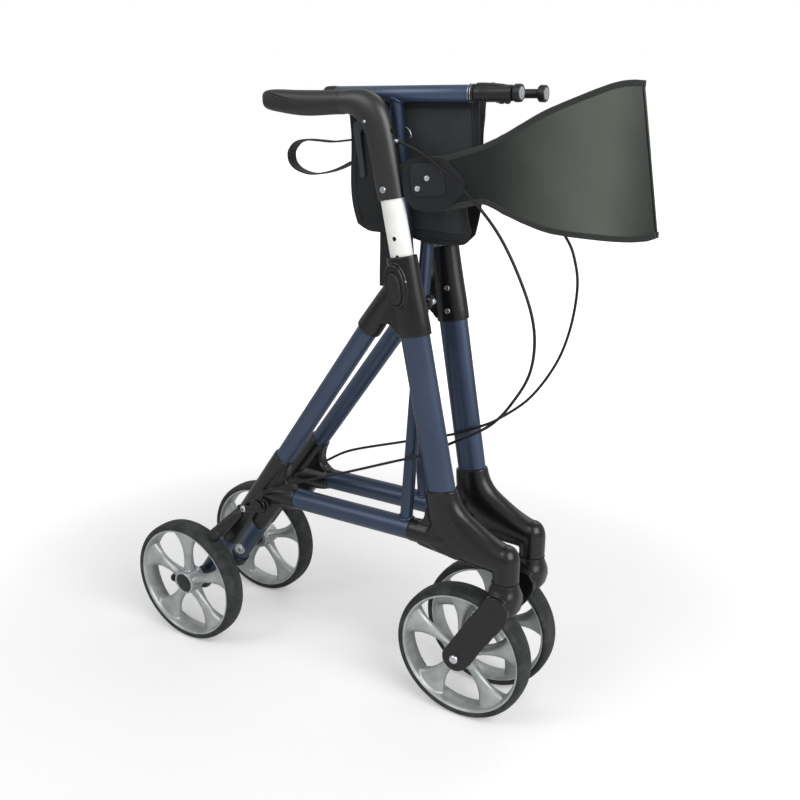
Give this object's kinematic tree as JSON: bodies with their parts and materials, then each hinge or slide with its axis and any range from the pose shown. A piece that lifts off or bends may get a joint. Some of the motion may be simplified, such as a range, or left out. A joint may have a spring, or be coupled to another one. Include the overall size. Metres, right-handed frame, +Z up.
{
  "type": "rollator",
  "caption": "Folding walking frame on wheels, stored folded: side frames with handles, scissor brace with fabric seat, backrest band and hand brakes.",
  "frame": {"origin": "on the ground under the middle of the folded rollator's bounding box", "axes": "+X is the forward walking direction, +Y the user's left, +Z up"},
  "size_m": [0.7804, 0.221, 0.857],
  "materials": {
    "pivot_bolt": "bright",
    "backrest_bracket": "satin",
    "backrest_half": "woven",
    "brake_arm": "satin",
    "brake_cable": "smooth sheath",
    "brake_lever": "satin",
    "fork": "fine texture",
    "front_axle": "bright",
    "front_casting": "fine texture",
    "front_rim": "silver",
    "front_tube": "metallic blue",
    "front_tyre": "matte",
    "grip": "soft",
    "handle_housing": "satin",
    "height_button": "satin",
    "leg": "metallic blue",
    "rail": "metallic blue",
    "rear_axle": "bright",
    "rear_casting": "fine texture",
    "rear_hub_cap": "satin",
    "rear_rim": "silver",
    "rear_tube": "metallic blue",
    "rear_tyre": "matte",
    "seat_half": "woven",
    "seat_plug": "satin",
    "seat_tube": "metallic blue",
    "telescopic_tube": "pale anodised",
    "tipping_pedal": "fine texture",
    "top_junction": "fine texture",
    "lift_strap": "webbing",
    "seat_latch": "satin",
    "seat_strip": "webbing"
  },
  "bodies": {
    "near_frame": {"near_front_tube": "front_tube", "near_rear_tube": "rear_tube", "near_top_junction": "top_junction", "near_front_casting": "front_casting", "near_rear_casting": "rear_casting", "near_tipping_pedal": "tipping_pedal", "near_rear_axle": "rear_axle", "near_brake_cable": "brake_cable"},
    "near_brace": {"near_rail": "rail", "near_leg": "leg", "far_seat_tube": "seat_tube", "far_seat_plug": "seat_plug", "brace_pivot_bolt": "pivot_bolt"},
    "near_seat": {"near_seat_half": "seat_half", "lift_strap": "lift_strap"},
    "near_handle": {"near_telescopic_tube": "telescopic_tube", "near_handle_housing": "handle_housing", "near_grip": "grip", "near_backrest_bracket": "backrest_bracket"},
    "near_backrest": {"near_backrest_half": "backrest_half"},
    "near_lever": {"near_brake_lever": "brake_lever"},
    "near_button": {"near_height_button": "height_button"},
    "near_brake": {"near_brake_arm": "brake_arm"},
    "near_caster": {"near_fork": "fork", "near_front_axle": "front_axle"},
    "near_front_wheel": {"near_front_rim": "front_rim", "near_front_tyre": "front_tyre"},
    "near_rear_wheel": {"near_rear_rim": "rear_rim", "near_rear_tyre": "rear_tyre", "near_rear_hub_cap": "rear_hub_cap"},
    "far_frame": {"far_front_tube": "front_tube", "far_rear_tube": "rear_tube", "far_top_junction": "top_junction", "far_front_casting": "front_casting", "far_rear_casting": "rear_casting", "far_tipping_pedal": "tipping_pedal", "far_rear_axle": "rear_axle", "far_brake_cable": "brake_cable"},
    "far_brace": {"far_rail": "rail", "far_leg": "leg", "near_seat_tube": "seat_tube", "near_seat_plug": "seat_plug"},
    "far_seat": {"far_seat_half": "seat_half", "seat_strip": "seat_strip"},
    "far_handle": {"far_telescopic_tube": "telescopic_tube", "far_handle_housing": "handle_housing", "far_grip": "grip", "far_backrest_bracket": "backrest_bracket"},
    "far_backrest": {"far_backrest_half": "backrest_half"},
    "far_lever": {"far_brake_lever": "brake_lever"},
    "far_button": {"far_height_button": "height_button"},
    "far_brake": {"far_brake_arm": "brake_arm"},
    "far_caster": {"far_fork": "fork", "far_front_axle": "front_axle"},
    "far_front_wheel": {"far_front_rim": "front_rim", "far_front_tyre": "front_tyre"},
    "far_rear_wheel": {"far_rear_rim": "rear_rim", "far_rear_tyre": "rear_tyre", "far_rear_hub_cap": "rear_hub_cap"},
    "latch": {"seat_latch": "seat_latch"}
  },
  "joints": [
    {"name": "fold", "type": "hinge", "parent": "near_frame", "child": "near_brace", "pos_m": [-0.00343, -0.0441, 0.267], "axis": [-1, 0, 0], "range_deg": [0, 43], "deforming": ["near_backrest_half", "far_backrest_half"]},
    {"name": "brace_pivot", "type": "hinge", "parent": "near_brace", "child": "far_brace", "pos_m": [0.08597, 0, 0.583], "axis": [-1, 0, 0], "range_deg": [-86, 0]},
    {"name": "far_frame_hinge", "type": "hinge", "parent": "far_brace", "child": "far_frame", "pos_m": [-0.00343, 0.0441, 0.267], "axis": [-1, 0, 0], "range_deg": [0, 43]},
    {"name": "near_seat_swing", "type": "hinge", "parent": "far_brace", "child": "near_seat", "pos_m": [-0.01123, -0.03642, 0.844], "axis": [1, 0, 0], "range_deg": [0, 22]},
    {"name": "far_seat_swing", "type": "hinge", "parent": "near_brace", "child": "far_seat", "pos_m": [-0.01123, 0.03642, 0.844], "axis": [-1, 0, 0], "range_deg": [0, 22]},
    {"name": "near_backrest_hinge", "type": "hinge", "parent": "near_handle", "child": "near_backrest", "pos_m": [0.09577, -0.05971, 0.729], "axis": [0, 0, 1], "range_deg": [0, 48]},
    {"name": "near_handle_height", "type": "slide", "parent": "near_frame", "child": "near_handle", "axis": [-0.178, -0.0334, 0.9835], "range_m": [-0.069, 0.069], "deforming": ["near_brake_cable"]},
    {"name": "near_button_press", "type": "slide", "parent": "near_frame", "child": "near_button", "axis": [0, 1, 0], "range_m": [0, 0.0036], "stiffness_N_per_m": 300},
    {"name": "near_lever_turn", "type": "hinge", "parent": "near_handle", "child": "near_lever", "pos_m": [0.03727, -0.06192, 0.812], "axis": [0, 1, 0], "range_deg": [0, 55]},
    {"name": "near_brake_turn", "type": "hinge", "parent": "near_frame", "child": "near_brake", "pos_m": [-0.16623, -0.0634, 0.247], "axis": [0, 1, 0], "range_deg": [0, 4]},
    {"name": "near_caster_swivel", "type": "hinge", "parent": "near_frame", "child": "near_caster", "pos_m": [0.24117, -0.0441, 0.2262], "axis": [0, 0, 1], "range_deg": [-8, 188]},
    {"name": "near_front_roll", "type": "hinge", "parent": "near_caster", "child": "near_front_wheel", "pos_m": [0.18017, -0.0441, 0.1], "axis": [0, 1, 0], "continuous": true},
    {"name": "near_rear_roll", "type": "hinge", "parent": "near_frame", "child": "near_rear_wheel", "pos_m": [-0.29023, -0.0935, 0.1], "axis": [0, 1, 0], "continuous": true},
    {"name": "far_backrest_hinge", "type": "hinge", "parent": "far_handle", "child": "far_backrest", "pos_m": [0.09577, 0.05971, 0.729], "axis": [0, 0, -1], "range_deg": [0, 48]},
    {"name": "far_handle_height", "type": "slide", "parent": "far_frame", "child": "far_handle", "axis": [-0.178, 0.0334, 0.9835], "range_m": [-0.069, 0.069], "deforming": ["far_brake_cable"]},
    {"name": "far_button_press", "type": "slide", "parent": "far_frame", "child": "far_button", "axis": [0, -1, 0], "range_m": [0, 0.0036], "stiffness_N_per_m": 300},
    {"name": "far_lever_turn", "type": "hinge", "parent": "far_handle", "child": "far_lever", "pos_m": [0.03727, 0.06192, 0.812], "axis": [0, 1, 0], "range_deg": [0, 55]},
    {"name": "far_brake_turn", "type": "hinge", "parent": "far_frame", "child": "far_brake", "pos_m": [-0.16623, 0.0634, 0.247], "axis": [0, 1, 0], "range_deg": [0, 4]},
    {"name": "far_caster_swivel", "type": "hinge", "parent": "far_frame", "child": "far_caster", "pos_m": [0.24117, 0.0441, 0.2262], "axis": [0, 0, 1], "range_deg": [-188, 8]},
    {"name": "far_front_roll", "type": "hinge", "parent": "far_caster", "child": "far_front_wheel", "pos_m": [0.18017, 0.0441, 0.1], "axis": [0, 1, 0], "continuous": true},
    {"name": "far_rear_roll", "type": "hinge", "parent": "far_frame", "child": "far_rear_wheel", "pos_m": [-0.29023, 0.0935, 0.1], "axis": [0, 1, 0], "continuous": true},
    {"name": "latch_turn", "type": "hinge", "parent": "far_brace", "child": "latch", "pos_m": [0.17507, -0.03642, 0.844], "axis": [1, 0, 0], "range_deg": [0, 40]}
  ],
  "couplings": [
    {"joint": "brace_pivot", "follows": "fold", "ratio": -2},
    {"joint": "far_frame_hinge", "follows": "fold", "ratio": 1},
    {"joint": "near_seat_swing", "follows": "fold", "ratio": 0.5},
    {"joint": "far_seat_swing", "follows": "fold", "ratio": 0.5},
    {"joint": "near_backrest_hinge", "follows": "fold", "ratio": 1.1},
    {"joint": "near_brake_turn", "follows": "near_lever_turn", "ratio": 0.0727},
    {"joint": "far_backrest_hinge", "follows": "fold", "ratio": 1.1},
    {"joint": "far_brake_turn", "follows": "far_lever_turn", "ratio": 0.0727}
  ]
}
